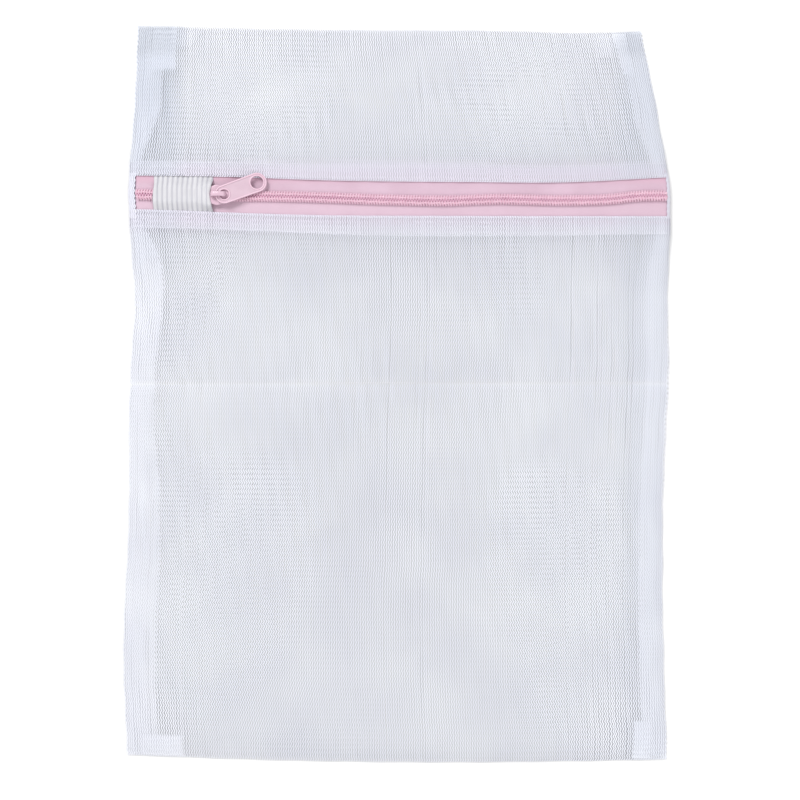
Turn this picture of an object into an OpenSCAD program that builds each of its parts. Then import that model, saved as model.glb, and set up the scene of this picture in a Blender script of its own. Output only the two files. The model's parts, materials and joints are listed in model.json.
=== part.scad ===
// Mesh laundry bag, lying flat on its back with the zip side up.
// X runs along the zip, Y points to the fold nearest the zip and Z points up.
// The origin is at the middle of the bag, on the face that it rests on.

/* [Bag] */
// Length of the bag between its two folds
bag_length = 408; // [380:1:440]
// Greatest width, over the side seams
bag_width = 305; // [290:1:330]
// Thickness of the mesh cloth
cloth_t = 0.5; // [0.4:0.05:0.6]
// Clear height between the front and the back
loft = 5.1; // [4.8:0.1:8]
// Distance from the middle of the bag to the crease that it folds along
crease_y = 6.5; // [0:0.5:20]
// Width of the side seam allowances that are turned to the inside
allowance_w = 13.5; // [10:0.5:16]

/* [Zip] */
// Distance from the middle of the bag to the middle of the zip
zip_y = 110.3; // [95:0.1:125]
// Half of the width of tape that shows between the hems
tape_shown = 9.6; // [9.5:0.1:12]
// Width of one tape, from the middle of the zip to its hidden edge
tape_w = 15; // [13:0.5:16]
// Width of the turned hems beside the zip
hem_w = 10.6; // [10:0.1:13]
// Radius of one nylon coil
coil_r = 1.12; // [1:0.02:1.15]
// Place of the slider's middle along the zip
slider_x = -99.3; // [-102:0.1:100]

/* [Pull] */
// Length of the pull between the middles of its two holes
pull_span = 19.1; // [16:0.1:24]
// Thickness of the pull
pull_t = 1.2; // [1:0.05:1.2]
// Swing of the pull to one side, seen from above
pull_swing = 21; // [0:0.5:25]
// Droop of the pull towards the cloth
pull_droop = 5; // [0:0.5:5]

/* [Elastic] */
// Width of the elastic band, along the zip
elastic_w = 31.9; // [20:0.1:32]
// Thickness of the elastic band
elastic_t = 1; // [0.8:0.1:1]

/* [Hidden] */
$fn = 48;

half_l = bag_length / 2;
half_w = bag_width / 2;
body_h = loft + 2 * cloth_t;   // top of the front cloth
crease_gap = 0.3;              // room for the fold hinge between the two halves
edge_step = 1.2;               // how far the edges step in at the top and the bottom
edge_rise = 0.8;               // height of that step

// Each side edge, from the far fold to the zip fold: [share of half the length, pull-in].
LEFT_EDGE = [[-1, 1.2], [-0.6, 0], [0, 1.5], [0.23, 4.5], [0.5, 2], [0.69, 2.8], [1, 6.3]];
RIGHT_EDGE = [[-1, 2.2], [-0.45, 5], [0.05, 1.3], [0.5, 0], [0.6, 1.2], [1, 16.7]];

// Zip levels, from the inside out.
front_under = cloth_t + loft;
tape_top = front_under - cloth_t;
tape_t = 0.5;
tape_under = tape_top - tape_t;
coil_top = tape_top + 2 * coil_r;
coil_mid_y = 1.6;              // middle of a coil from the middle of the zip
coil_gap = 0.45;               // half of the gap that the slider's post runs in
zip_left = -half_w + 5.5;
zip_right = half_w - 3.1;

// Slider, in its own frame: X along the zip, the narrow end at +X.
plate_t = 1;
plate_under = coil_top + 0.16;
plate_top = plate_under + plate_t;
lower_plate_top = tape_under - 0.2;
bridge_w = 2.7;
bridge_span = [-4.6, 4.2];
bridge_hole = [-3, 2.4];
bridge_bar = 0.8;
pivot_x = -0.6;
pivot_z = plate_top + 1.4;
bridge_hole_top = pivot_z + 1.75;

// Pull, in its own frame: the pivot at the origin, the eye at +X.
eye_r = 2.6;
eye_end_r = 5.1;
cord_hole_r = 3.45;
cord_end_r = 5.35;
eye_x = (eye_r + eye_end_r) / 2;

// Elastic band.
elastic_right = slider_x + bridge_span[0] - 0.3;
elastic_tuck = 16;

function clamp_y(y, end_inset) = max(end_inset - half_l, min(half_l - end_inset, y));
function edge_x(side, edge, y, inset) = side * (half_w - lookup(y / half_l, edge) - inset);
function side_line(side, edge, inset, end_inset) =
    [for (p = edge) let (y = clamp_y(p[0] * half_l, end_inset)) [edge_x(side, edge, y, inset), y]];
function reversed(v) = [for (i = [len(v) - 1 : -1 : 0]) v[i]];
function outline(inset) = concat(
    side_line(-1, LEFT_EDGE, inset, inset),
    reversed(side_line(1, RIGHT_EDGE, inset, inset)));
function edge_of(side) = side < 0 ? LEFT_EDGE : RIGHT_EDGE;

// A slab with the bag's outline from z0 to z1.
module slab(z0, z1, inset) {
    translate([0, 0, z0]) linear_extrude(z1 - z0) polygon(outline(inset));
}

// The bag's outer shape, shrunk by a wall thickness, with its edges stepped in.
module pillow(wall) {
    slab(wall, wall + edge_rise, edge_step + wall);
    slab(wall + edge_rise, body_h - wall - edge_rise, wall);
    slab(body_h - wall - edge_rise, body_h - wall, edge_step + wall);
}

// Keeps what lies on one side of the crease: base (-1) or zip (1).
module half(part) {
    intersection() {
        children();
        translate([-bag_width, part < 0 ? crease_y - crease_gap / 2 - bag_length
                                        : crease_y + crease_gap / 2, -1])
            cube([2 * bag_width, bag_length, body_h + 2]);
    }
}

// Keeps what lies within the stepped edges of the bag.
module within_edges() {
    intersection() {
        children();
        slab(0, body_h, cloth_t + edge_step + 0.1);
    }
}

// A box along the zip, from y0 to y1 off the zip's middle, on the given side of it.
module zip_strip(side, y0, y1, z0, z1, x0, x1) {
    translate([x0, zip_y + (side > 0 ? y0 : -y1), z0])
        cube([x1 - x0, y1 - y0, z1 - z0]);
}

module mesh_cloth(part) {
    color([0.93, 0.94, 0.97]) half(part) difference() {
        pillow(0);
        pillow(cloth_t);
        translate([zip_left, zip_y - tape_shown, front_under - 0.3])
            cube([zip_right - zip_left, 2 * tape_shown, 2]);
    }
}

// The turned-under ply of a hem, cut out where the elastic's end lies in it.
module hem_ply(side) {
    color([0.9, 0.9, 0.95]) within_edges() difference() {
        zip_strip(side, tape_shown, tape_shown + hem_w, tape_top, front_under, zip_left, zip_right);
        zip_strip(side, tape_shown - 1, elastic_tuck + 0.1, tape_top - 1, front_under + 1,
                  elastic_right - elastic_w - 0.1, elastic_right + 0.1);
    }
}

module hem_stitching(side) {
    row_w = 0.4;
    row_h = 0.2;
    color([0.97, 0.97, 1]) for (y = [tape_shown + 1.1, tape_shown + hem_w - 1.1])
        zip_strip(side, y, y + row_w, body_h, body_h + row_h, zip_left + 0.6, zip_right - 0.8);
}

// A strip that follows a side edge, between two insets.
module side_strip(side, inset0, inset1, z0, z1) {
    translate([0, 0, z0]) linear_extrude(z1 - z0)
        polygon(concat(side_line(side, edge_of(side), inset0, 2),
                       reversed(side_line(side, edge_of(side), inset1, 2))));
}

allowance_z = 1.6;
allowance_top = allowance_z + 2 * cloth_t;
overlock_w = 0.8;
overlock_over = 0.2;
tuck_z = allowance_top + overlock_over;

// The allowance's end, folded over inside a corner: as a flap, or as a three-cornered tuck.
module corner_tuck(side, part, reach, length, flap) {
    edge = edge_of(side);
    x0 = edge_x(side, edge, part * half_l, 6);
    x1 = edge_x(side, edge, part * half_l, reach);
    y0 = part * (half_l - 2.5);
    y1 = part * (half_l - 2.5 - length);
    translate([0, 0, tuck_z]) linear_extrude(cloth_t)
        polygon(flap ? [[x0, y0], [x1, y0], [x1, y1], [x0, y1]]
                     : [[x0, y0], [x1, y0], [x0, y1]]);
}

// Two plies of cloth, sewn together at the side edge and turned to the inside.
module allowance(side, part, tuck_reach, tuck_length, flap) {
    color([0.9, 0.91, 0.96]) {
        half(part) for (z = [allowance_z, allowance_z + cloth_t])
            side_strip(side, cloth_t + 0.1, allowance_w, z, z + cloth_t);
        corner_tuck(side, part, tuck_reach, tuck_length, flap);
    }
}

// The overlock threads that bind the allowance's raw edge.
module overlock(side, part) {
    color([0.97, 0.97, 1]) half(part)
        side_strip(side, allowance_w, allowance_w + overlock_w,
                   allowance_z - overlock_over, allowance_top + overlock_over);
}

// The row of stitches that joins the front and the back.
module seam_thread(side, part) {
    color([0.97, 0.97, 1]) half(part)
        side_strip(side, 1.6, 2.1, allowance_top, allowance_top + 0.2);
}

module zip_tape(side) {
    color([0.91, 0.76, 0.84]) within_edges()
        zip_strip(side, coil_gap, tape_w, tape_under, tape_top, zip_left, zip_right);
}

// A bar along the zip through the middle of one coil.
module coil_bar(side, r, x0, x1) {
    translate([x0, zip_y + side * coil_mid_y, tape_top + coil_r])
        rotate([0, 90, 0]) cylinder(r = r, h = x1 - x0);
}

core_bore_r = 0.55;
core_r = 0.45;

module zip_coil(side) {
    color([0.95, 0.68, 0.79]) difference() {
        coil_bar(side, coil_r, zip_left, zip_right);
        coil_bar(side, core_bore_r, zip_left - 1, zip_right + 1);
    }
}

module coil_cord(side) {
    color([0.96, 0.84, 0.89]) coil_bar(side, core_r, zip_left + 0.2, zip_right - 0.2);
}

// A band over the zip, with its two ends tucked in between the tapes and the hems.
module elastic_garage() {
    arch_under = plate_top + 0.3;
    arch_half = 5.7;
    half_band = [
        [elastic_tuck, tape_top], [elastic_tuck, tape_top + 0.5],
        [tape_shown - 0.2, tape_top + 0.5], [arch_half + 0.9, arch_under + elastic_t]
    ];
    half_under = [[arch_half, arch_under], [tape_shown - 1.4, tape_top]];
    mirrored = function(v) [for (p = v) [-p[0], p[1]]];
    color([0.95, 0.95, 0.94])
        translate([elastic_right - elastic_w, zip_y, 0])
            rotate([90, 0, 90]) linear_extrude(elastic_w)
                polygon(concat(half_band, mirrored(reversed(half_band)),
                               mirrored(reversed(half_under)), half_under));
}

module slider_plate() {
    linear_extrude(plate_t) hull() {
        for (s = [-1, 1]) {
            translate([-4.6, s * 1.9]) circle(2.7, $fn = 32);
            translate([-1.3, s * 3]) circle(2.65, $fn = 32);
            translate([5.3, s * 2.7]) circle(1.5, $fn = 32);
        }
    }
}

// The arch that the pull hangs in.
module slider_bridge() {
    top = bridge_hole_top + bridge_bar;
    translate([0, bridge_w / 2, 0]) rotate([90, 0, 0]) linear_extrude(bridge_w) difference() {
        polygon([
            [bridge_span[0], plate_top - 0.1], [bridge_span[0], top - 1], [bridge_span[0] + 1, top],
            [bridge_span[1] - 1, top], [bridge_span[1], top - 1], [bridge_span[1], plate_top - 0.1]
        ]);
        translate([bridge_hole[0], plate_top])
            square([bridge_hole[1] - bridge_hole[0], bridge_hole_top - plate_top]);
    }
}

module slider_body() {
    flange_y = 3.05;
    flange_w = 1.1;
    color([0.94, 0.78, 0.86]) translate([slider_x, zip_y, 0]) {
        translate([0, 0, plate_under]) slider_plate();
        translate([0, 0, lower_plate_top - plate_t]) slider_plate();
        for (s = [-1, 1])
            translate([-4.6, s > 0 ? flange_y : -flange_y - flange_w, tape_top + 0.2])
                cube([10.6, flange_w, plate_under - tape_top]);
        translate([-6.9, -0.25, lower_plate_top - 0.5])
            cube([3.3, 0.5, plate_under - lower_plate_top + 1]);
        slider_bridge();
    }
}

// The outline of the pull: two round ends joined by their outer tangents.
module pull_outline(inset) {
    r0 = eye_end_r - inset;
    r1 = cord_end_r - inset;
    lean = asin((r1 - r0) / pull_span);
    side = [-sin(lean), cos(lean)];
    circle(r0);
    translate([pull_span, 0]) circle(r1);
    polygon([
        [r0 * side[0], r0 * side[1]], [r0 * side[0], -r0 * side[1]],
        [pull_span + r1 * side[0], -r1 * side[1]], [pull_span + r1 * side[0], r1 * side[1]]
    ]);
}

module pull_tab() {
    rim = 1.05;
    recess = 0.25;
    color([0.96, 0.83, 0.9])
        translate([slider_x + pivot_x, zip_y, pivot_z]) rotate([0, pull_droop, 0])
            translate([eye_x, 0, -pull_t / 2]) rotate([0, 0, pull_swing]) difference() {
                linear_extrude(pull_t) pull_outline(0);
                translate([0, 0, -1]) cylinder(r = eye_r, h = pull_t + 2);
                translate([pull_span, 0, -1]) cylinder(r = cord_hole_r, h = pull_t + 2);
                translate([0, 0, pull_t - recess]) linear_extrude(1) difference() {
                    pull_outline(rim);
                    circle(eye_r + rim);
                    translate([pull_span, 0]) circle(cord_hole_r + rim);
                }
            }
}

mesh_cloth(-1);  // mesh_cloth_base_half
mesh_cloth(1);  // mesh_cloth_zip_half
hem_ply(1);  // hem_ply_above_zip
hem_ply(-1);  // hem_ply_below_zip
hem_stitching(1);  // hem_stitching_above_zip
hem_stitching(-1);  // hem_stitching_below_zip
allowance(-1, -1, 29, 15, false);  // left_allowance_base_half
allowance(-1, 1, 25, 25, true);  // left_allowance_zip_half
allowance(1, -1, 19, 20, true);  // right_allowance_base_half
allowance(1, 1, 25, 14, false);  // right_allowance_zip_half
overlock(-1, -1);  // left_overlock_base_half
overlock(-1, 1);  // left_overlock_zip_half
overlock(1, -1);  // right_overlock_base_half
overlock(1, 1);  // right_overlock_zip_half
seam_thread(-1, -1);  // left_seam_thread_base_half
seam_thread(-1, 1);  // left_seam_thread_zip_half
seam_thread(1, -1);  // right_seam_thread_base_half
seam_thread(1, 1);  // right_seam_thread_zip_half
zip_tape(1);  // zip_tape_above
zip_tape(-1);  // zip_tape_below
zip_coil(1);  // zip_coil_above
zip_coil(-1);  // zip_coil_below
coil_cord(1);  // coil_cord_above
coil_cord(-1);  // coil_cord_below
elastic_garage();
slider_body();
pull_tab();
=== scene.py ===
"""The mesh laundry bag: knitted net, hems, side seams, zip, elastic cover, slider and pull.

Lengths are in millimetres in the shape code, and in metres on the Blender objects.
"""

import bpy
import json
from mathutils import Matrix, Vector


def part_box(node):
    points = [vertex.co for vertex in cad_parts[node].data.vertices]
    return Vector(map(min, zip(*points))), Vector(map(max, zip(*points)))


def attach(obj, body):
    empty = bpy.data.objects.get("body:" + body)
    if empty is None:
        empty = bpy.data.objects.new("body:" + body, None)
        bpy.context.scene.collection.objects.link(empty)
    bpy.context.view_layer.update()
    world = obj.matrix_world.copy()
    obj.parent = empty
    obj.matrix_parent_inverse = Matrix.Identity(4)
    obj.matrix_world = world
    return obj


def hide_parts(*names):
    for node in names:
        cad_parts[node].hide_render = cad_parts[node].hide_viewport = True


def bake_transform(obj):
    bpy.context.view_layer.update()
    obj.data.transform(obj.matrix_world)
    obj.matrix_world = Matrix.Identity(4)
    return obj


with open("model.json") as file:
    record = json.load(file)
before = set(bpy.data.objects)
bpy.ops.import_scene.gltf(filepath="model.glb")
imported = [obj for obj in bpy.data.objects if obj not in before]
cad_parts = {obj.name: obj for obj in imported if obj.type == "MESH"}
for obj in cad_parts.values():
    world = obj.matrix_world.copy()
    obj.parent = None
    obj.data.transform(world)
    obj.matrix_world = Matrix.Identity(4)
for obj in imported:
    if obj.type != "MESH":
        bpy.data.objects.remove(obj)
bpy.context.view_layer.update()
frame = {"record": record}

import json
import math

import bpy
import numpy as np
from mathutils import Matrix, Vector

MM = 0.001

# ---------------------------------------------------------------- sizes from the frame

def node_box(node):
    low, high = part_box(node)
    return np.array(low) / MM, np.array(high) / MM


joints = {j["name"]: j for j in frame["record"]["behaviour"]["joints"]}
CREASE_Y = joints["crease_fold"]["pos_m"][1] / MM
PIVOT = np.array(joints["pull_flip"]["pos_m"]) / MM
slider_low, slider_high = node_box("slider_body")
ZIP_Y = PIVOT[1]
SLIDER_X = slider_low[0] + 7.3
TAPE_TOP = node_box("zip_tape_above")[1][2]
PLATE_TOP = PIVOT[2] - 1.4
ZIP_LEFT, ZIP_RIGHT = node_box("zip_coil_above")[0][0], node_box("zip_coil_above")[1][0]


def curve(*stations):
    """A smooth curve through (position, value) stations, as a function."""
    xs, ys = np.array(stations, float).T
    slopes = np.gradient(ys, xs)

    def value(x):
        x = np.clip(x, xs[0], xs[-1])
        i = np.clip(np.searchsorted(xs, x) - 1, 0, len(xs) - 2)
        h = xs[i + 1] - xs[i]
        t = (x - xs[i]) / h
        return (
            (2 * t**3 - 3 * t**2 + 1) * ys[i]
            + (t**3 - 2 * t**2 + t) * h * slopes[i]
            + (3 * t**2 - 2 * t**3) * ys[i + 1]
            + (t**3 - t**2) * h * slopes[i + 1]
        )

    return value


# The outline: x of each side edge along y, and y of each fold along x.
left_curve = curve((-204, -152), (-137, -154), (-70, -151), (14, -150), (45, -148), (115, -151), (165, -147.5),
                   (204, -146))
right_curve = curve((-204, 150), (-110, 147.5), (-50, 147.5), (20, 150.5), (65, 150.5), (95, 152), (120, 151),
                    (150, 146), (204, 135.5))
top_curve = curve((-147, 206), (-60, 204), (60, 203), (110, 202), (137, 203))
bottom_curve = curve((-152, -201.5), (-60, -204.5), (30, -205.5), (151, -204))
# The zip: the middle of the chain, and the two hem edges beside it.
chain_line = curve((-150, 111), (-100, 110.2), (-60, 109.7), (0, 107.8), (23, 107.4), (56, 108.3), (90, 107.6),
                   (118, 108.4), (132, 109.9), (152, 110.2))
hem_above = curve((-150, 121.5), (-100, 120.8), (-38, 118.7), (40, 117.8), (90, 117.6), (152, 120.6))
hem_below = curve((-150, 103), (-38, 99.5), (23, 99.2), (152, 99))
hem_top = curve((-150, 130), (-60, 129), (0, 129.3), (85, 127.5), (150, 129.3))
hem_bottom = curve((-150, 92), (-100, 91), (-38, 88.2), (150, 88))
# How far the two plies of each side's allowance reach in from the edge, along y.
allowance_reach = {
    -1: curve((-204, 18.5), (-60, 17.5), (-4, 14.5), (40, 15.5), (78, 15), (93, 8.8), (136, 8.6), (151, 14),
              (204, 13)),
    1: curve((-204, 15), (-50, 13.5), (6, 12.5), (70, 12.3), (91, 9.2), (130, 9.6), (140, 12.4), (204, 12.2)),
}
# How much less far the second ply reaches.
second_ply_gap = {
    -1: curve((-204, 4.0), (-30, 3.8), (0, 0.8), (204, 0.6)),
    1: curve((-204, 0.8), (130, 0.9), (150, 4.4), (204, 4.4)),
}
# How far in from the edge the side seam is sewn.
seam_inset = {
    -1: curve((-204, 1.7), (60, 1.7), (92, 3.0), (114, 3.4), (134, 3.0), (160, 1.7), (204, 1.6)),
    1: curve((-204, 1.2), (80, 1.3), (104, 2.4), (120, 2.2), (136, 1.3), (204, 1.2)),
}
RIBS = 12            # in the elastic cover
PULL_DROOP = 5       # degrees that the pull's free end hangs down
PULL_SWING = 21      # degrees that the pull has swung round in its arch


def ripple(x, y, seed, longest=120.0, shortest=28.0, terms=7):
    """A smooth, seeded waviness from about -1 to 1."""
    draws = np.random.default_rng(seed)
    total = 0.0
    for _ in range(terms):
        angle, phase = draws.uniform(0, math.pi), draws.uniform(0, 2 * math.pi)
        length = math.exp(draws.uniform(math.log(shortest), math.log(longest)))
        total = total + np.sin((x * math.cos(angle) + y * math.sin(angle)) * 2 * math.pi / length + phase)
    return total / math.sqrt(terms)


def left_edge(y):
    return left_curve(y) + 0.16 * np.sin(y / 3.1) + 0.12 * np.sin(y / 7.3 + 1)


def right_edge(y):
    return right_curve(y) - 0.35 + 0.15 * np.sin(y / 3.7 + 2) + 0.14 * np.sin(y / 8.1)


def top_edge(x):
    return top_curve(x) + 0.1 * np.sin(x / 5.3)


def bottom_edge(x):
    return bottom_curve(x) + 0.7 + 0.1 * np.sin(x / 4.7 + 1)


def rise(distance, reach):
    return 1 - np.exp(-np.maximum(distance, 0) / reach)


def side_distance(x, y):
    return np.minimum(x - left_edge(y), right_edge(y) - x)


def edge_at(side):
    return left_edge if side < 0 else right_edge


def inset_from(side, y, distance):
    return edge_at(side)(y) - side * distance


def inner_line(side, y, ply=0):
    """How far a ply of the allowance reaches in from the edge, with the wander of a sewn seam."""
    wander = 0.22 * np.sin(y / 23 + side) + 0.18 * np.sin(y / 9.1)
    return allowance_reach[side](y) - ply * second_ply_gap[side](y) + wander


corner_slant = curve((175, 14.6), (178, 15.7), (192, 16.9), (203, 17.4))


def doubled(x, y):
    """Where the net lies over more plies of its own cloth, in the side seams and corners."""
    left, right = x - left_edge(y), right_edge(y) - x
    seams = (left < inner_line(-1, y)) | (right < inner_line(1, y))
    corners = (
        ((y > 179.8) & (left < 22.8)) | ((y < -189.4) & (left < 32.0))
        | ((y > 176.6) & (right < corner_slant(y))) | ((y < -182.0) & (right < 19.4))
    )
    return seams | corners


def over_hem(x, y):
    return ((y > hem_above(x)) & (y < hem_top(x))) | ((y < hem_below(x)) & (y > hem_bottom(x)))


def end_distance(x, y):
    return np.minimum(y - bottom_edge(x), top_edge(x) - y)


def zip_nearness(y):
    return np.exp(-((np.maximum(np.abs(y - ZIP_Y) - 20, 0) / 24) ** 2))


def front_z(x, y):
    """Height of the front cloth."""
    near = zip_nearness(y)
    off_crease = np.abs(y - CREASE_Y)
    middle = 4.3 + 1.5 * near + 0.5 * (1 - near) * ripple(x, y, 3)
    middle = middle - 1.1 * np.exp(-off_crease / 9) - 0.35 * np.exp(-off_crease / 1.5)
    pucker = 0.14 * near * np.sin(x / 2.9 + 1.5 * np.sin(x / 17))
    pucker = pucker * rise(side_distance(x, y), 6)
    shape = rise(side_distance(x, y), 3.4 - 2.0 * near) * rise(end_distance(x, y), 6)
    over_elastic = np.clip((17.5 - np.abs(x + 119.8)) / 2, 0, 1) * np.clip((20 - np.abs(y - ZIP_Y)) / 4, 0, 1)
    return 0.85 + (middle - 0.85) * shape + pucker + 0.55 * over_elastic


def back_z(x, y):
    """Height of the back cloth, which lies on the table."""
    lift = 0.5 * np.exp(-side_distance(x, y) / 2.2) + 0.3 * np.exp(-end_distance(x, y) / 4)
    crease = 0.5 * np.exp(-np.abs(y - CREASE_Y) / 3)
    return 0.24 + lift + crease + 0.1 * (1 + ripple(x, y, 8))


def between(x, y, share):
    """A height between the two cloths: 0 at the back and 1 at the front."""
    return back_z(x, y) * (1 - share) + front_z(x, y) * share


# ---------------------------------------------------------------- mesh helpers

class Shape:
    """Points and faces, gathered from several parts."""

    def __init__(self):
        self.points, self.quads, self.tris, self.kinds, self.count = [], [], [], [], 0

    def add(self, points, quads=(), tris=(), kind=0):
        points = np.asarray(points, float).reshape(-1, 3)
        self.points.append(points)
        self.quads.append(np.asarray(quads, int).reshape(-1, 4) + self.count)
        self.tris.append(np.asarray(tris, int).reshape(-1, 3) + self.count)
        self.kinds.append(np.broadcast_to(kind, len(self.quads[-1])))
        self.count += len(points)

    def build(self, name, *materials):
        points = np.concatenate(self.points) * MM
        quads, tris = np.concatenate(self.quads), np.concatenate(self.tris)
        mesh = bpy.data.meshes.new(name)
        mesh.vertices.add(len(points))
        mesh.vertices.foreach_set("co", points.ravel())
        mesh.loops.add(quads.size + tris.size)
        mesh.loops.foreach_set("vertex_index", np.concatenate([quads.ravel(), tris.ravel()]))
        starts = np.concatenate([np.arange(len(quads)) * 4, quads.size + np.arange(len(tris)) * 3])
        mesh.polygons.add(len(starts))
        mesh.polygons.foreach_set("loop_start", starts)
        if len(materials) > 1:
            kinds = np.concatenate(self.kinds + [np.zeros(len(tris), int)])
            mesh.polygons.foreach_set("material_index", kinds.astype(np.int32))
        mesh.update(calc_edges=True)
        mesh.polygons.foreach_set("use_smooth", np.ones(len(mesh.polygons), bool))
        obj = bpy.data.objects.new(name, mesh)
        bpy.context.scene.collection.objects.link(obj)
        for material in materials:
            mesh.materials.append(material)
        return obj


def unit(v):
    return v / np.maximum(np.linalg.norm(v, axis=-1, keepdims=True), 1e-9)


def tube(shape, path, radius, sides=6, hint=(0, 0, 1)):
    """A closed round thread along a path."""
    path = np.asarray(path, float)
    tangent = unit(np.gradient(path, axis=0))
    side = unit(np.cross(tangent, np.array(hint, float)))
    up = np.cross(side, tangent)
    turn = np.arange(sides) * 2 * math.pi / sides
    radius = np.broadcast_to(radius, (len(path),))[:, None, None]
    rings = path[:, None] + radius * (
        np.cos(turn)[None, :, None] * side[:, None] + np.sin(turn)[None, :, None] * up[:, None]
    )
    n = len(path)
    i, j = np.meshgrid(np.arange(n - 1), np.arange(sides), indexing="ij")
    k = (j + 1) % sides
    quads = np.stack([i * sides + j, (i + 1) * sides + j, (i + 1) * sides + k, i * sides + k], -1)
    points = np.concatenate([rings.reshape(-1, 3), path[:1], path[-1:]])
    j = np.arange(sides)
    k = (j + 1) % sides
    start = np.stack([np.full(sides, n * sides), j, k], -1)
    last = (n - 1) * sides
    end = np.stack([np.full(sides, n * sides + 1), last + k, last + j], -1)
    shape.add(points, quads.reshape(-1, 4), np.concatenate([start, end]))


def slab(shape, top, thickness):
    """A closed sheet with some thickness, from a grid of points on its top."""
    top = np.asarray(top, float)
    bottom = top.copy()
    bottom[..., 2] -= thickness
    n, m = top.shape[:2]
    i, j = np.meshgrid(np.arange(n - 1), np.arange(m - 1), indexing="ij")
    a = (i * m + j).reshape(-1)
    upper = np.stack([a, a + m, a + m + 1, a + 1], -1)
    lower = upper[:, ::-1] + n * m
    rim = np.concatenate([
        np.arange(m - 1), (np.arange(n - 1) + 1) * m - 1,
        (n - 1) * m + np.arange(m - 1, 0, -1), np.arange(n - 1, 0, -1) * m,
    ])
    nxt = np.roll(rim, -1)
    wall = np.stack([rim, nxt, nxt + n * m, rim + n * m], -1)
    shape.add(np.concatenate([top.reshape(-1, 3), bottom.reshape(-1, 3)]),
              np.concatenate([upper, lower, wall]))


PITCH = 1.34        # between pillars of loops
ROW = 1.425         # half of the zigzag's period
PILLAR_W = 0.63     # width of a pillar
INLAY_W = 0.31      # width of a thread between pillars
SWING = 0.29        # of a pitch, how far a pillar leans to each side


def net(shape, place, pillars, rows, up=1, seed=1, thick=1.0, inner=True):
    """Knitted net: pillars of loops that lean left and right in turn, and thin threads that tie each pillar to
    the next, touching one and then the other.

    place(u, t) gives the x, y and z of a point of the cloth, with u across it and t along it, each from 0 to 1.
    inner is for plies that lie inside a seam or a hem.
    """
    draws = np.random.default_rng(seed)
    span = pillars - 1 + 2 * (SWING + 0.5 * PILLAR_W * thick / PITCH + 0.08)
    first = 0.5 * (span - pillars + 1)
    i = np.arange(pillars)[:, None, None]
    j = np.arange(rows + 1)[None, :, None]
    k = np.array([-1, 0, 1])[None, None, :]
    swing = SWING * np.where(j % 2, 1, -1)
    loose = 0.05 * np.sin(j * 0.21 + i * 0.9 + seed) + 0.03 * draws.normal(size=(pillars, 1, 1))
    u = (i + first + swing + loose + 0.5 * k * PILLAR_W * thick / PITCH) / span
    t = np.broadcast_to(j / rows, u.shape)
    x, y, z = place(np.clip(u, 0, 1), t)
    z = z + up * 0.1 * (k == 0)
    points = np.stack([x, y, z], -1).reshape(-1, 3)
    a = ((i * (rows + 1) + j[:, :-1]) * 3 + k[..., :-1] + 1).reshape(-1)
    quads = np.stack([a, a + 1, a + 4, a + 3], -1)
    shape.add(points, quads if up > 0 else quads[:, ::-1])

    g = np.arange(pillars - 1)[:, None, None]
    s = np.array([-1, 1])[None, None, :]
    cross = np.where(j % 2, 0.57, 0.43)
    u = (g + first + cross + swing + 0.5 * s * INLAY_W * thick / PITCH) / span
    t = np.broadcast_to(j / rows, u.shape)
    x, y, z = place(np.clip(u, 0, 1), t)
    points = np.stack([x, y, z + up * 0.03], -1).reshape(-1, 3)
    a = ((g * (rows + 1) + j[:, :-1]) * 2).reshape(-1)
    quads = np.stack([a, a + 1, a + 3, a + 2], -1)
    at = points[a, :2].T
    # Inlays over doubled cloth or a hem take the lighter copies, painted light from the plies beneath.
    kind = 2 if inner else np.where(doubled(*at), 2, np.where(over_hem(*at), 3, 1))
    shape.add(points, quads if up > 0 else quads[:, ::-1], kind=kind)


def stitches(shape, line, start, end, length=2.5, gap=0.35, radius=0.13, sink=0.1):
    """A row of lockstitches along x or y: line(s) gives the points at positions s."""
    count = int((end - start) / (length + gap))
    step = (end - start) / count
    for n in range(count):
        s = start + n * step + np.linspace(gap / 2, step - gap / 2, 5)
        path = line(s)
        path[[0, -1], 2] -= sink
        tube(shape, path, radius * np.array([0.55, 1, 1.05, 1, 0.55]), 6)


# ---------------------------------------------------------------- materials

def linear(red, green, blue):
    """A colour given as 0 to 255 display values, as linear light."""
    values = np.array([red, green, blue]) / 255
    return tuple(np.where(values <= 0.04045, values / 12.92, ((values + 0.055) / 1.055) ** 2.4))


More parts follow.
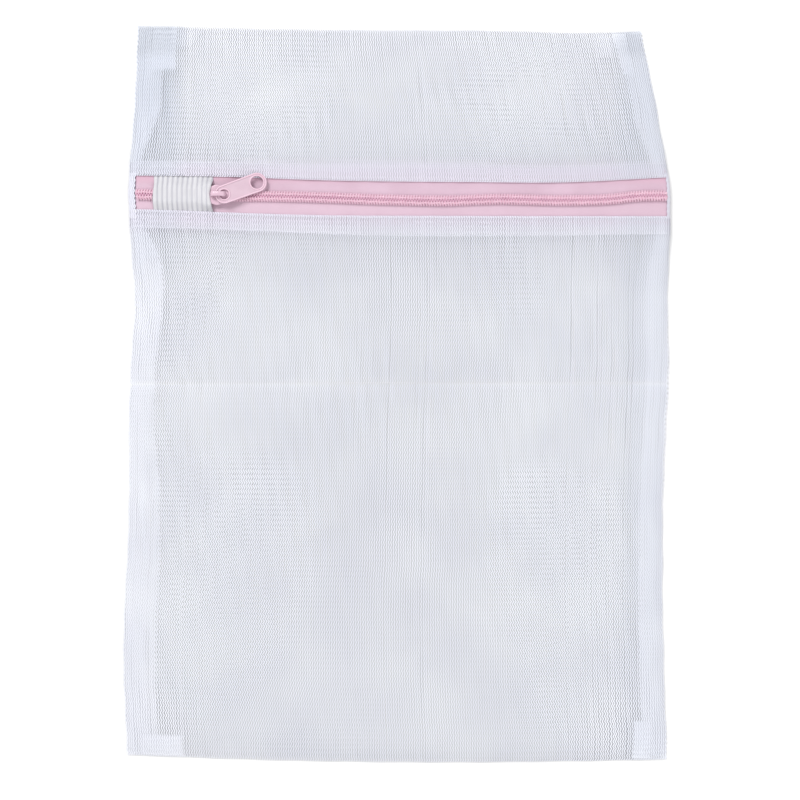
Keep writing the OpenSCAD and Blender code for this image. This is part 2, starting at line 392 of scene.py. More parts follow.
class Nodes:
    """A material's node tree, with short calls for the nodes used here."""

    def __init__(self, name):
        self.material = bpy.data.materials.new(name)
        self.material.use_nodes = True
        self.tree = self.material.node_tree
        self.shader = self.tree.nodes["Principled BSDF"]
        self.coordinates = self.tree.nodes.new("ShaderNodeTexCoord").outputs["Object"]

    def link(self, source, target):
        if isinstance(source, (int, float)):
            target.default_value = source
        elif isinstance(source, tuple):
            target.default_value = (*source, 1.0)[: len(target.default_value)]
        else:
            self.tree.links.new(source, target)

    def scaled(self, x, y, z):
        node = self.tree.nodes.new("ShaderNodeMapping")
        node.inputs["Scale"].default_value = (x, y, z)
        self.link(self.coordinates, node.inputs["Vector"])
        return node.outputs["Vector"]

    def noise(self, scale, detail=2.0, vector=None):
        node = self.tree.nodes.new("ShaderNodeTexNoise")
        node.inputs["Scale"].default_value = scale
        node.inputs["Detail"].default_value = detail
        self.link(vector or self.coordinates, node.inputs["Vector"])
        return node.outputs["Fac"]

    def bands(self, period, direction="X", distortion=0.0):
        node = self.tree.nodes.new("ShaderNodeTexWave")
        node.bands_direction = direction
        node.inputs["Scale"].default_value = 2 * math.pi / (20 * period)
        node.inputs["Distortion"].default_value = distortion
        self.link(self.coordinates, node.inputs["Vector"])
        return node.outputs["Fac"]

    def place(self, axis):
        node = self.tree.nodes.new("ShaderNodeSeparateXYZ")
        self.link(self.coordinates, node.inputs[0])
        return node.outputs[axis]

    def math(self, operation, a, b=0.0):
        node = self.tree.nodes.new("ShaderNodeMath")
        node.operation = operation
        self.link(a, node.inputs[0])
        self.link(b, node.inputs[1])
        return node.outputs[0]

    def range(self, value, low, high, to_low=0.0, to_high=1.0):
        node = self.tree.nodes.new("ShaderNodeMapRange")
        self.link(value, node.inputs["Value"])
        for key, number in (("From Min", low), ("From Max", high), ("To Min", to_low), ("To Max", to_high)):
            node.inputs[key].default_value = number
        return node.outputs["Result"]

    def mix(self, factor, a, b):
        node = self.tree.nodes.new("ShaderNodeMix")
        node.data_type = "RGBA"
        self.link(factor, node.inputs["Factor"])
        self.link(a, node.inputs["A"])
        self.link(b, node.inputs["B"])
        return node.outputs["Result"]

    def bump(self, height, strength, distance):
        node = self.tree.nodes.new("ShaderNodeBump")
        node.inputs["Strength"].default_value = strength
        node.inputs["Distance"].default_value = distance
        self.link(height, node.inputs["Height"])
        self.link(node.outputs["Normal"], self.shader.inputs["Normal"])

    def done(self, colour, roughness, **settings):
        self.link(colour, self.shader.inputs["Base Color"])
        self.link(roughness, self.shader.inputs["Roughness"])
        for key, number in settings.items():
            self.shader.inputs[key.replace("_", " ")].default_value = number
        return self.material


def net_material(name, shade):
    """The net's yarn; shade dims it, a painted shade, as the inlays are thinner and clearer.

    The tints near the zip, along the sides and at the upper corners are painted shade, and the lighter line
    along the crease is a painted highlight.
    """
    n = Nodes(name)
    patchy = n.range(n.noise(22, 3), 0.35, 0.65)

    def shaded(*values):
        return linear(*np.array(values) * shade)

    colour = n.mix(patchy, shaded(237, 239, 248), shaded(244, 246, 253))
    off_zip = n.math("ABSOLUTE", n.math("SUBTRACT", n.place("Y"), ZIP_Y * MM))
    # Painted shade on the net beside the zip, and nearer the zip a pinkish painted shade over the hems and the
    # tape beneath them.
    colour = n.mix(n.range(off_zip, 0.0225, 0.055, 0.7, 0.0), colour, shaded(231, 233, 243))
    colour = n.mix(n.range(off_zip, 0.013, 0.0225, 0.9, 0.0), colour, shaded(230, 225, 239))
    # Painted shade along the side seams, growing towards the top of the bag.
    at_side = n.math("MULTIPLY", n.range(n.math("ABSOLUTE", n.place("X")), 0.117, 0.128),
                     n.range(n.place("X"), -0.1, 0.1, 1.0, 0.65))
    side_shade = n.math("MAXIMUM", n.range(n.place("Y"), 0.06, 0.16), n.range(n.place("X"), 0.11, 0.13, 0.0, 0.5))
    side_shade = n.math("MULTIPLY", at_side, side_shade)
    colour = n.mix(side_shade, colour, shaded(221, 226, 238))
    # Painted shade at the top of the side seams, by the upper corners.
    tucked = n.math("MULTIPLY", at_side, n.range(n.place("Y"), 0.186, 0.192, 0.0, 0.85))
    colour = n.mix(tucked, colour, shaded(208, 213, 224))
    # A painted highlight along the crease.
    off_crease = n.math("ABSOLUTE", n.math("SUBTRACT", n.place("Y"), CREASE_Y * MM))
    colour = n.mix(n.range(off_crease, 0.0004, 0.0018, 0.2, 0.0), colour, linear(254, 254, 255))
    n.bump(n.noise(5200, 2, n.scaled(1, 0.35, 1)), 0.35, 0.00006)
    return n.done(colour, n.range(n.noise(900), 0.3, 0.7, 0.46, 0.62), Sheen_Weight=0.15)


def thread_material():
    n = Nodes("sewing_thread")
    colour = n.mix(n.range(n.noise(1500, 2), 0.35, 0.65), linear(226, 227, 238), linear(240, 240, 248))
    n.bump(n.bands(0.00035, "DIAGONAL"), 0.5, 0.00005)
    return n.done(colour, n.range(n.noise(700), 0.3, 0.7, 0.5, 0.68), Sheen_Weight=0.2)


def tape_material():
    """The tape's weave; the lighter lower half makes up for the shadow under the coil."""
    n = Nodes("zip_tape_weave")
    above = n.math("SUBTRACT", n.place("Y"), ZIP_Y * MM)
    body = n.mix(n.range(n.noise(60, 3), 0.35, 0.65), linear(203, 176, 192), linear(211, 185, 201))
    colour = n.mix(n.range(above, 0.0060, 0.0090), body, linear(211, 176, 193))
    colour = n.mix(n.range(above, -0.0050, -0.0025, 0.35, 0.0), colour, linear(218, 193, 207))
    weave = n.math("MULTIPLY", n.bands(0.00062, "X", 0.4), n.bands(0.00052, "Y", 0.4))
    # Painted shade in the hollows between the yarns of the weave.
    colour = n.mix(n.range(weave, 0.0, 0.6, 0.22, 0.0), colour, linear(205, 160, 182))
    n.bump(weave, 0.55, 0.00012)
    return n.done(colour, n.range(n.noise(400), 0.3, 0.7, 0.62, 0.8), Sheen_Weight=0.2)


def coil_material(name, dull, bright):
    n = Nodes(name)
    colour = n.mix(n.range(n.noise(240, 2), 0.35, 0.65), linear(*dull), linear(*bright))
    n.bump(n.noise(2600, 2), 0.12, 0.00004)
    return n.done(colour, n.range(n.noise(500), 0.3, 0.7, 0.46, 0.6), Coat_Weight=0.05)


def cord_material():
    n = Nodes("coil_filler_cord")
    # Lighter than the coil's wire: painted light to make up for the shade in the gaps between the wires.
    colour = n.mix(n.bands(0.0007, "DIAGONAL"), linear(240, 200, 217), linear(247, 210, 225))
    n.bump(n.noise(3000, 2), 0.4, 0.00005)
    return n.done(colour, n.range(n.noise(500), 0.3, 0.7, 0.6, 0.75))


def elastic_material():
    n = Nodes("ribbed_elastic")
    low, high = node_box("elastic_garage")
    pitch = (high[0] + 1.0 - low[0]) / RIBS * MM
    along = n.math("MULTIPLY", n.math("SUBTRACT", n.place("X"), low[0] * MM), 2 * math.pi / pitch)
    groove = n.range(n.math("COSINE", along), 0.2, 0.9)
    knit = n.math("MULTIPLY", n.bands(0.00046, "Y", 0.3), n.bands(0.00093, "X", 0.3))
    colour = n.mix(n.range(n.noise(130, 3), 0.35, 0.65), linear(210, 209, 213), linear(217, 216, 220))
    # Painted shade in the grooves between the ribs and between the loops of the knit.
    colour = n.mix(groove, colour, linear(190, 189, 197))
    colour = n.mix(n.range(knit, 0.0, 0.5, 0.2, 0.0), colour, linear(190, 191, 197))
    n.bump(knit, 0.5, 0.00012)
    return n.done(colour, n.range(n.noise(500), 0.3, 0.7, 0.6, 0.78), Sheen_Weight=0.1)


def slider_material():
    n = Nodes("slider_paint")
    colour = n.mix(n.range(n.noise(190, 3), 0.35, 0.65), linear(209, 176, 193), linear(217, 185, 201))
    n.bump(n.noise(900, 2), 0.08, 0.0001)
    return n.done(colour, n.range(n.noise(350, 3), 0.3, 0.7, 0.24, 0.38), Coat_Weight=0.35, Coat_Roughness=0.12)


def pull_material():
    n = Nodes("pull_coating")
    droop = math.radians(PULL_DROOP)
    up = Vector((math.sin(droop), 0, math.cos(droop)))
    node = n.tree.nodes.new("ShaderNodeVectorMath")
    node.operation = "DOT_PRODUCT"
    n.link(n.coordinates, node.inputs[0])
    node.inputs[1].default_value = up
    above = n.math("SUBTRACT", node.outputs["Value"], float(Vector(PIVOT) @ up) * MM)
    colour = n.mix(n.range(n.noise(150, 3), 0.35, 0.65), linear(205, 178, 192), linear(212, 185, 199))
    # Painted highlight: the raised rim lighter than the recessed face.
    colour = n.mix(n.range(above, 0.0003, 0.0005), colour, linear(229, 196, 212))
    n.bump(n.noise(1100, 2), 0.06, 0.0001)
    return n.done(colour, n.range(n.noise(300, 3), 0.3, 0.7, 0.3, 0.44), Coat_Weight=0.2, Coat_Roughness=0.2)


def floor_material():
    n = Nodes("table_white")
    return n.done(n.mix(n.noise(3, 2), linear(242, 242, 242), linear(244, 244, 244)), 0.9)


# The inlays come as lit and shaded copies of one yarn: darkest in the open net as painted shade, lighter over
# doubled cloth and over the hems as painted light from the plies beneath.
NET = (net_material("net_loops", 1.0), net_material("net_inlay", 0.74),
       net_material("net_inlay_doubled", 0.90), net_material("net_inlay_hem", 0.84))
THREAD, TAPE = thread_material(), tape_material()
# The coil's heads are darker than its wire, a painted shade in the groove between the two coils; its backs are
# lighter, to make up for the shadow beside it.
COIL = (coil_material("nylon_monofilament", (219, 180, 198), (226, 188, 205)),
        coil_material("nylon_coil_heads", (212, 167, 189), (220, 176, 197)),
        coil_material("nylon_coil_backs", (246, 208, 224), (251, 216, 231)))
CORD, ELASTIC, SLIDER, PULL = cord_material(), elastic_material(), slider_material(), pull_material()

# ---------------------------------------------------------------- the cloth

ACROSS = 224             # pillars in the bag's width


def over_bag(y_from, y_to, height):
    """Places net over the bag's width between two lines y(x), at height(x, y)."""

    def place(u, t):
        x = -150 + 300 * u
        for _ in range(3):
            y = y_from(x) * (1 - t) + y_to(x) * t
            x = left_edge(y) * (1 - u) + right_edge(y) * u
        return x, y, height(x, y)

    return place


def crease(x):
    return CREASE_Y + 0 * x


def finish_cloth(obj, nodes, body):
    """Hides the CAD parts a piece of net replaces. It moves with its body, or is baked in place if body is None.
    """
    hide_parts(*nodes)
    if body:
        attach(obj, body)
    else:
        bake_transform(obj)
    return obj


def cloth(name, y_from, y_to, rows, height, up, seed):
    shape = Shape()
    net(shape, over_bag(y_from, y_to, height), ACROSS, rows, up, seed, inner=False)
    return shape.build(name, *NET)


front_base = cloth("net_front_base", bottom_edge, crease, 148, front_z, 1, 1)
front_middle = cloth("net_front_middle", crease, hem_below, 66, front_z, 1, 1)
front_top = cloth("net_front_top", hem_above, top_edge, 58, front_z, 1, 1)
back_base = cloth("net_back_base", bottom_edge, crease, 148, back_z, -1, 5)
back_zip = cloth("net_back_zip_side", crease, top_edge, 138, back_z, -1, 5)


def hem(name, edge, far, direction):
    """The doubled hem under the front cloth: turned back from its edge, and its raw edge turned under again."""
    shape = Shape()
    for ply, drop in enumerate((0.36, 0.62)):
        def height(x, y, drop=drop):
            return front_z(x, y) - drop * rise(np.abs(y - edge(x)), 0.4)

        def inner(x, ply=ply):
            return far(x) - direction * (0.5 + 0.4 * ply)

        first, last = (edge, inner) if direction > 0 else (inner, edge)
        net(shape, over_bag(first, last, height), ACROSS, 8, 1, 11 + ply, 1.15, inner=ply == 1)
    return shape.build(name, *NET)


hem_ply_above = hem("hem_above_zip", hem_above, hem_top, 1)
hem_ply_below = hem("hem_below_zip", hem_below, hem_bottom, -1)


def hem_seam(name, edge, far, direction):
    """The two rows of stitches that hold a hem to the zip's tape."""
    shape = Shape()
    for start, inset in ((edge, 1.1), (far, -1.0)):
        def line(x):
            y = start(x) + direction * inset
            return np.stack([x, y, front_z(x, y) + 0.14], -1)
        stitches(shape, line, ZIP_LEFT + 0.6, ZIP_RIGHT - 0.8)
    return shape.build(name, THREAD)


hem_seam_above = hem_seam("hem_stitches_above_zip", hem_above, hem_top, 1)
hem_seam_below = hem_seam("hem_stitches_below_zip", hem_below, hem_bottom, -1)

# ---------------------------------------------------------------- side seams

def under_zip(y):
    """How far up the allowances lie: the zip's ends press them down."""
    return 1 - 0.6 * np.exp(-(((y - ZIP_Y) / 13) ** 4))


def allowance(side):
    """Two plies turned to the inside along a side, with their ends folded over at the corners."""
    shape = Shape()

    def ply(number, share):
        def place(u, t):
            y = -201.0 + 403.5 * t
            start = seam_inset[side](y) + 0.2 * number
            x = inset_from(side, y, start + u * (inner_line(side, y, number) - start))
            y = np.clip(y, bottom_edge(x) + 0.8, top_edge(x) - 0.8)
            return x, y, between(x, y, share * under_zip(y))
        return place

    net(shape, ply(0, 0.30), 10, 282, -1, 21, 1.1)
    net(shape, ply(1, 0.70), 10, 282, 1, 22, 1.3)

    def tuck(y_from, y_to, reach, share, seed):
        def place(u, t):
            y = y_from + (y_to - y_from) * t
            x = inset_from(side, y, 9.0 + u * (reach(y) - 9.0))
            y = np.clip(y, bottom_edge(x) + 1.0, top_edge(x) - 1.0)
            return x, y, between(x, y, share)
        rows = 2 * max(int(abs(y_to - y_from) / ROW / 2), 2)
        widest = max(float(np.max(reach(np.array([y_from, y_to])))) - 9.0, 4)
        net(shape, place, max(int(widest / PITCH), 4), rows, 1, seed, 2.0)

    def beside_zip(u, t):
        """The front cloth between the edge and the zip's end, where the hems meet the side seam."""
        y = 97.5 + 25.5 * t
        x = inset_from(side, y, 0.3 + u * (5.0 if side < 0 else 3.0))
        return x, y, between(x, y, 1.0) + 0.12

    net(shape, beside_zip, 4 if side < 0 else 3, 18, 1, 81, 1.3)
    shares = (0.76, 0.82, 0.88)
    if side < 0:
        for n, share in enumerate(shares):
            tuck(179.6 + 0.4 * n, 203.6, curve((179, 23.0), (204, 22.4)), share, 31 + n)
            tuck(-201.0, -189.6 + 0.5 * n, curve((-202, 32.5), (-189, 31.5)), share, 41 + n)
        tuck(194.0, 203.6, curve((193, 29.5), (204, 38.0)), 0.5, 71)
    else:
        for n, share in enumerate(shares):
            tuck(176.4 + 0.4 * n, 201.8, corner_slant, share, 51 + n)
            tuck(-202.5, -182.2 + 0.5 * n, curve((-203, 19.8), (-182, 19.0)), share, 61 + n)
        tuck(187.6, 201.8, curve((187, 28.2), (202, 27.0)), 0.5, 71)
    return shape


def overlock(side):
    """Threads wound round the allowance's raw edge."""
    shape = Shape()
    pitch, per_turn = 2.1, 10
    turns = int(400 / pitch)
    angle = np.arange(turns * per_turn + 1) * 2 * math.pi / per_turn
    y = -200.0 + angle / (2 * math.pi) * pitch
    x = inset_from(side, y, inner_line(side, y, 1) - 0.9 + 1.25 * np.cos(angle))
    z = between(x, y, 0.41 * under_zip(y)) + 0.5 * np.sin(angle)
    tube(shape, np.stack([x, y, z], -1), 0.12, 5, hint=(0, 1, 0))
    for offset in (-2.0, 0.35):
        s = np.arange(-200.0, 200.5, 1.05)
        x = inset_from(side, s, inner_line(side, s, 1) + offset + 0.12 * np.sin(s * 3))
        tube(shape, np.stack([x, s, between(x, s, 0.41 * under_zip(s)) + 0.5], -1), 0.11, 5)
    return shape


def side_seam(side):
    shape = Shape()

    def line(y):
        x = inset_from(side, y, seam_inset[side](y))
        return np.stack([x, y, between(x, y, 0.72)], -1)

    stitches(shape, line, -200.5, 200.5, radius=0.16)
    return shape


side_pieces = {}
for side, word in ((-1, "left"), (1, "right")):
    side_pieces[word] = (
        allowance(side).build(f"allowance_{word}", *NET),
        overlock(side).build(f"overlock_{word}", THREAD),
        side_seam(side).build(f"seam_stitches_{word}", THREAD),
    )

# ---------------------------------------------------------------- the zip

def side_dip(x, y=ZIP_Y):
    """How far the zip's ends dip into the side seams."""
    return 3.3 * np.exp(-np.maximum(side_distance(x, y), 0) / 1.1)


def tape(name, side):
    """One half of the zip's tape, a thin woven band with a beaded inner edge."""
    x = np.linspace(ZIP_LEFT + 1.0, ZIP_RIGHT - 0.3, 331)[:, None]
    edge = hem_above if side > 0 else hem_below
    share = np.array([0, 0.02, 0.08, 0.18, 0.3, 0.42, 0.55, 0.68, 0.8, 0.9, 0.98, 1.0])[None, :]
    inner = chain_line(x) + side * 0.12
    outer = edge(x) + side * 4.9
    y = inner * (1 - share) + outer * share
    x = np.minimum(np.broadcast_to(x, y.shape), right_edge(y) - 2.4)
    ends = np.where((share < 0.01) | (share > 0.99), 0.12, 0.0)
    bow = 0.06 * np.sin(share * math.pi) * (np.sin(x / 21 + side) - 1)
    z = TAPE_TOP - 0.02 - ends + bow - side_dip(x, y)
    top = np.stack([x, y, z], -1)
    if side < 0:
        top = top[:, ::-1]
    shape = Shape()
    slab(shape, top, 0.44)
    return shape.build(name, TAPE)


COIL_PITCH = 1.52    # between turns
WIRE_R = 0.53
COIL_MID = 1.36      # from the middle of the chain to the middle of a coil
COIL_REACH = 1.2     # from the middle of a coil to the wire at its heads and backs
COIL_RISE = 0.45
COIL_Z = TAPE_TOP + 0.96
STRAND_R = 0.36      # of each strand of the filler cords


def coil(name, side, step=16):
    """The helix of one coil; its heads reach past the middle, in between those of the other coil."""
    turns = int((ZIP_RIGHT - ZIP_LEFT - 1.6) / COIL_PITCH)
    angle = np.arange(turns * step + 1) * 2 * math.pi / step
    x = ZIP_LEFT + 1.3 + angle / (2 * math.pi) * COIL_PITCH + (0 if side > 0 else COIL_PITCH / 2)
    across, high = np.cos(angle), np.sin(angle)
    across = np.sign(across) * np.abs(across) ** 0.85
    high = np.sign(high) * np.abs(high) ** 0.85
    x = x + 0.1 * across
    y = chain_line(x) + side * (COIL_MID - COIL_REACH * across)
    z = COIL_Z + COIL_RISE * high - side_dip(x)
    shape = Shape()
    sides = 7
    tube(shape, np.stack([x, y, z], -1), WIRE_R, sides, hint=(1, 0, 0))
    # Heads take the darker colour, painted shade in the middle groove; backs the lighter one, painted light
    # against the shadow beside them.
    part = np.where(across[:-1] > 0.55, 1, np.where(across[:-1] < -0.8, 2, 0))
    shape.kinds[-1] = np.repeat(part, sides)
    return shape.build(name, *COIL)


def filler(name, side):
    """The twisted cord inside a coil."""
    shape = Shape()
    x = np.arange(ZIP_LEFT + 1.5, ZIP_RIGHT - 0.6, 0.45)
    middle = np.stack([x, chain_line(x) + side * COIL_MID, COIL_Z - side_dip(x)], -1)
    for strand in (0, math.pi):
        turn = x / 0.62 + strand
        path = middle + STRAND_R * np.stack([0 * x, np.cos(turn), np.sin(turn)], -1)
        tube(shape, path, STRAND_R, 8)
    return shape.build(name, CORD)


tape_above, tape_below = tape("zip_tape_upper", 1), tape("zip_tape_lower", -1)
coil_above, coil_below = coil("zip_coil_upper", 1), coil("zip_coil_lower", -1)
cord_above, cord_below = filler("filler_cord_upper", 1), filler("filler_cord_lower", -1)

# ---------------------------------------------------------------- elastic cover

def elastic():
    low, high = node_box("elastic_garage")
    left, right = low[0], high[0] + 1.4
    across = np.linspace(0, 1, 14 * RIBS + 1)[:, None]
    along = np.linspace(-1, 1, 71)[None, :]
    x = left + (right - left) * across + 0 * along
    middle = chain_line(x)
    above, below = hem_above(x) + 4.6, hem_below(x) - 4.6
    y = np.where(along > 0, middle + (above - middle) * along, middle + (middle - below) * along)
    off = np.abs(y - middle)
    x = x - across**2 * 1.5 * np.exp(-((off / 5.5) ** 2)) + (1 - across) ** 8 * 0.4 * np.sin(y / 3)
    over_slider = 1 / (1 + np.exp(-(x - (slider_low[0] - 1.0)) / 1.3))
    half = 3.4 + 2.0 * over_slider
    crown = TAPE_TOP + 2.9 + (PLATE_TOP + 1.02 - TAPE_TOP - 2.9) * over_slider
    tucked = TAPE_TOP + 0.66
    share = np.clip((9.6 - off) / (9.6 - half), 0, 1)
    share = share * share * (3 - 2 * share)
    z = tucked + (crown - tucked) * share
    rib = 0.5 + 0.5 * np.cos((across * RIBS + 0.5) * 2 * math.pi)
    z = z - (1 - rib) ** 2 * np.clip((off + 2.0) / 14, 0.33, 0.5)
    x = x + 0.5 * share * (1 - across) ** 3
    shape = Shape()
    slab(shape, np.stack([x, y, z], -1), 0.3)
    return shape.build("elastic_cover", ELASTIC)


elastic_cover = elastic()

# ---------------------------------------------------------------- slider and pull

def hull(points):
    """The convex outline round 2-D points, anticlockwise."""
    points = sorted(map(tuple, np.round(points, 6)))

    def half(items):
        line = []
        for p in items:
            while len(line) > 1 and (
                (line[-1][0] - line[-2][0]) * (p[1] - line[-2][1])
                - (line[-1][1] - line[-2][1]) * (p[0] - line[-2][0])
            ) <= 0:
                line.pop()
            line.append(p)
        return line[:-1]

    return np.array(half(points) + half(points[::-1]))


def circle(x, y, r, count=48):
    turn = np.arange(count) * 2 * math.pi / count
    return np.stack([x + r * np.cos(turn), y + r * np.sin(turn)], -1)


def fuse(name, solids, voxel, faces, transform, material, rounding=6):
    """One smooth casting from overlapping solids."""
    shape = Shape()
    for points, quads, tris in solids:
        shape.add(points, quads, tris)
    obj = shape.build(name, material)
    bpy.context.view_layer.objects.active = obj
    remesh = obj.modifiers.new("join", "REMESH")
    remesh.mode, remesh.voxel_size = "VOXEL", voxel * MM
    soften = obj.modifiers.new("soften", "SMOOTH")
    soften.factor, soften.iterations = 0.5, rounding
    thin = obj.modifiers.new("thin", "DECIMATE")
    evaluated = obj.evaluated_get(bpy.context.evaluated_depsgraph_get())
    thin.ratio = min(1.0, faces / max(len(evaluated.to_mesh().polygons) * 2, 1))
    evaluated.to_mesh_clear()
    final = bpy.data.meshes.new_from_object(obj.evaluated_get(bpy.context.evaluated_depsgraph_get()))
    obj.modifiers.clear()
    obj.data = final
    final.transform(transform)
    final.polygons.foreach_set("use_smooth", np.ones(len(final.polygons), bool))
    final.update()
    return obj


def prism(outline, z0, z1, holes=()):
    """A flat plate: an outline, pierced by holes, from z0 to z1."""
    data = bpy.data.curves.new("outline", "CURVE")
    data.dimensions, data.fill_mode = "2D", "BOTH"
    data.extrude = (z1 - z0) / 2
    for ring in (outline, *holes):
        spline = data.splines.new("POLY")
        spline.points.add(len(ring) - 1)
        spline.points.foreach_set("co", np.column_stack([ring, np.zeros(len(ring)), np.ones(len(ring))]).ravel())
        spline.use_cyclic_u = True
    obj = bpy.data.objects.new("outline", data)
    bpy.context.scene.collection.objects.link(obj)
    mesh = bpy.data.meshes.new_from_object(obj.evaluated_get(bpy.context.evaluated_depsgraph_get()))
    points = np.array([v.co for v in mesh.vertices]).reshape(-1, 3) + (0, 0, (z0 + z1) / 2)
    mesh.calc_loop_triangles()
    tris = np.array([t.vertices for t in mesh.loop_triangles])
    bpy.data.objects.remove(obj)
    bpy.data.meshes.remove(mesh)
    bpy.data.curves.remove(data)
    return points, (), tris


def bar(path, width, thickness):
    """A bar of rounded section, bent in the x-z plane."""
    path = np.asarray(path, float)
    fine = np.linspace(0, len(path) - 1, 60)
    path = np.stack([np.interp(fine, np.arange(len(path)), path[:, c]) for c in range(3)], -1)
    for _ in range(5):
        path[1:-1] = 0.25 * path[:-2] + 0.5 * path[1:-1] + 0.25 * path[2:]
    tangent = unit(np.gradient(path, axis=0))
    side = np.array([0.0, 1.0, 0.0])
    up = np.cross(tangent, side)
    turn = np.arange(20) * 2 * math.pi / 20
    c, s = np.cos(turn), np.sin(turn)
    c, s = np.sign(c) * np.abs(c) ** 0.6, np.sign(s) * np.abs(s) ** 0.6
    rings = path[:, None] + width / 2 * c[None, :, None] * side + thickness / 2 * s[None, :, None] * up[:, None]
    n, m = len(path), 20
    i, j = np.meshgrid(np.arange(n - 1), np.arange(m), indexing="ij")
    k = (j + 1) % m
    quads = np.stack([i * m + j, i * m + k, (i + 1) * m + k, (i + 1) * m + j], -1).reshape(-1, 4)
    points = np.concatenate([rings.reshape(-1, 3), path[:1], path[-1:]])
    j = np.arange(m)
    k = (j + 1) % m
    first = np.stack([np.full(m, n * m), k, j], -1)
    last = np.stack([np.full(m, n * m + 1), (n - 1) * m + j, (n - 1) * m + k], -1)
    return points, quads, np.concatenate([first, last])


def slider():
    top = PLATE_TOP
    under = slider_low[2]

    def plate(inset):
        rounds = [((-4.6, 1.9), 2.7), ((-1.3, 3.0), 2.65), ((5.3, 2.6), 1.5)]
        return hull(np.concatenate([circle(x, s * y, r - inset) for (x, y), r in rounds for s in (-1, 1)]))

    solids = [
        prism(plate(0.0), top - 1.0, top - 0.22),
        prism(plate(0.35), top - 0.4, top - 0.02),
        prism(plate(0.0), under, under + 0.95),
        prism(np.array([[-6.8, -0.22], [-3.4, -0.22], [-3.4, 0.22], [-6.8, 0.22]]), under + 0.5, top - 0.4),
    ]
    for s in (-1, 1):
        lip = np.array([[-4.4, 3.1], [5.4, 3.1], [5.4, 4.1], [-4.4, 4.1]]) * (1, s)
        solids.append(prism(lip if s > 0 else lip[::-1], TAPE_TOP + 0.22, top - 0.5))
    arch = [(-4.0, 0, top - 0.5), (-4.0, 0, top + 1.8), (-3.7, 0, top + 3.1), (-2.6, 0, top + 3.5),
            (0.0, 0, top + 3.58), (2.4, 0, top + 3.5), (3.3, 0, top + 3.1), (3.6, 0, top + 1.8),
            (3.6, 0, top - 0.5)]
    solids.append(bar(arch, 2.6, 0.84))
    transform = Matrix.Translation((SLIDER_X * MM, ZIP_Y * MM, 0))
    return fuse("slider", solids, 0.115, 46000, transform, SLIDER, 5)


def pull():
    """A flat tab with an eye at one end, a hole at the other, and a raised rim round both and its edge."""
    spread, eye_end, far_end, eye, hole, thick = 19.1, 5.1, 5.35, 2.6, 3.45, 1.2

    def outline(inset):
        return hull(np.concatenate([circle(0, 0, eye_end - inset, 96), circle(spread, 0, far_end - inset, 96)]))

    rim, floor_z = 0.85, thick - 0.42
    solids = [
        prism(outline(0.2), 0.02, floor_z, [circle(0, 0, eye + 0.05), circle(spread, 0, hole + 0.05)]),
        prism(outline(0.0), 0.18, thick - 0.2, [outline(rim)[::-1]]),
        prism(outline(0.18), 0.1, thick, [outline(rim - 0.18)[::-1]]),
    ]
    for x, inner in ((0, eye), (spread, hole)):
        solids.append(prism(circle(x, 0, inner + 0.85), 0.18, thick - 0.2, [circle(x, 0, inner)]))
        solids.append(prism(circle(x, 0, inner + 0.67), 0.1, thick, [circle(x, 0, inner + 0.18)]))
    transform = (
        Matrix.Translation(Vector(PIVOT) * MM)
        @ Matrix.Rotation(math.radians(PULL_DROOP), 4, "Y")
        @ Matrix.Translation(Vector(((eye + eye_end) / 2, 0, -thick / 2)) * MM)
        @ Matrix.Rotation(math.radians(PULL_SWING), 4, "Z")
    )
    return fuse("pull", solids, 0.09, 44000, transform, PULL, 4)


slider_piece, pull_piece = slider(), pull()

# ---------------------------------------------------------------- what each piece replaces and moves with

cloth_nodes = ["mesh_cloth_base_half", "mesh_cloth_zip_half"]
finish_cloth(back_base, cloth_nodes, None)
finish_cloth(back_zip, cloth_nodes, None)
finish_cloth(front_base, cloth_nodes, None)
finish_cloth(front_middle, cloth_nodes, None)
finish_cloth(front_top, cloth_nodes, "zip_half")
finish_cloth(hem_ply_above, ["hem_ply_above_zip"], "zip_half")
finish_cloth(hem_ply_below, ["hem_ply_below_zip"], "zip_half")


def plain(obj, slot, body, *nodes):
    if nodes:
        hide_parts(*nodes)
    if body:
        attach(obj, body)
    else:
        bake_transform(obj)


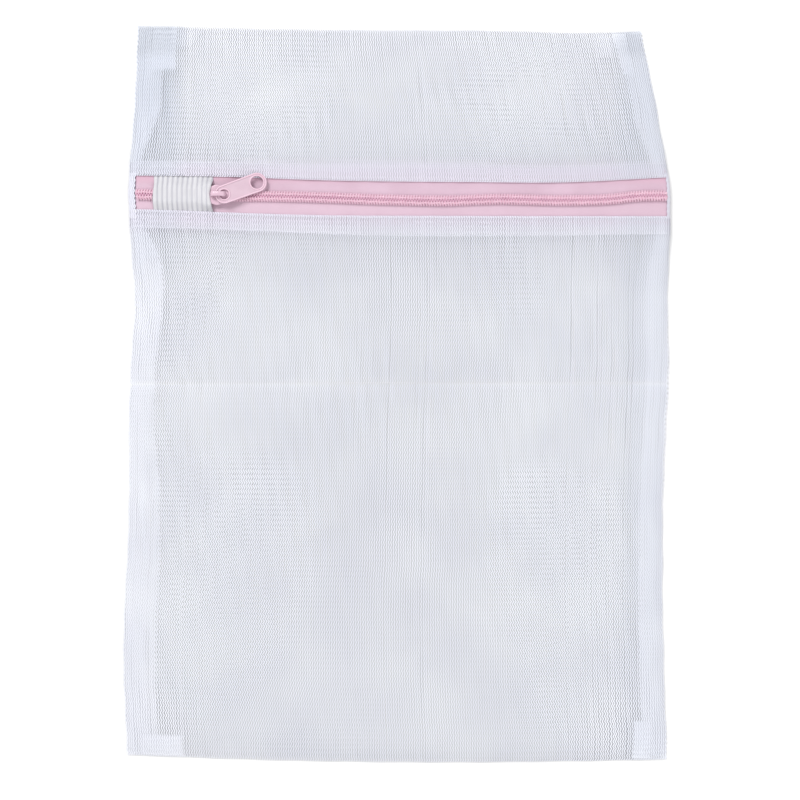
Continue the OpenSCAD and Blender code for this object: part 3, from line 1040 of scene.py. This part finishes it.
plain(hem_seam_above, "sewing_thread", "zip_half", "hem_stitching_above_zip")
plain(hem_seam_below, "sewing_thread", "zip_half", "hem_stitching_below_zip")
for word, (turned, bound, sewn) in side_pieces.items():
    finish_cloth(turned, [f"{word}_allowance_base_half", f"{word}_allowance_zip_half"], None)
    plain(bound, "sewing_thread", None, f"{word}_overlock_base_half", f"{word}_overlock_zip_half")
    plain(sewn, "sewing_thread", None, f"{word}_seam_thread_base_half", f"{word}_seam_thread_zip_half")
plain(tape_above, "zip_tape", "zip_half", "zip_tape_above")
plain(tape_below, "zip_tape", "zip_half", "zip_tape_below")
plain(coil_above, "nylon_coil", "zip_half", "zip_coil_above")
plain(coil_below, "nylon_coil", "zip_half", "zip_coil_below")
plain(cord_above, "coil_cord", "zip_half", "coil_cord_above")
plain(cord_below, "coil_cord", "zip_half", "coil_cord_below")
plain(elastic_cover, "elastic", "zip_half", "elastic_garage")
plain(slider_piece, "pink_paint", "slider", "slider_body")
plain(pull_piece, "pink_plastic", "pull", "pull_tab")

# ---------------------------------------------------------------- floor, light and camera

bpy.ops.mesh.primitive_plane_add(size=6, location=(0, 0, -0.0002))
floor = bpy.context.object
floor.name = "floor"
floor.data.materials.append(floor_material())

world = bpy.data.worlds.new("studio")
bpy.context.scene.world = world
world.use_nodes = True
world.node_tree.nodes["Background"].inputs["Color"].default_value = (1.0, 1.0, 1.0, 1)
world.node_tree.nodes["Background"].inputs["Strength"].default_value = 0.565


def area_light(name, place, size, power, target=(0, 0.02, 0)):
    data = bpy.data.lights.new(name, "AREA")
    data.size, data.energy = size, power
    obj = bpy.data.objects.new(name, data)
    bpy.context.scene.collection.objects.link(obj)
    obj.location = place
    obj.rotation_euler = (Vector(target) - Vector(place)).to_track_quat("-Z", "Y").to_euler()
    return obj


area_light("key", (-1.3, 1.7, 2.6), 1.4, 72.5)
area_light("fill", (1.4, -1.6, 2.4), 2.2, 34)

camera_data = bpy.data.cameras.new("camera")
camera_data.lens, camera_data.sensor_width = 49.94, 36
camera = bpy.data.objects.new("camera", camera_data)
bpy.context.scene.collection.objects.link(camera)
camera.location = (0.00056, -0.0028, 0.62)
bpy.context.scene.camera = camera
bpy.context.scene.view_settings.view_transform = "Standard"
bpy.context.scene.view_settings.exposure = 0.0
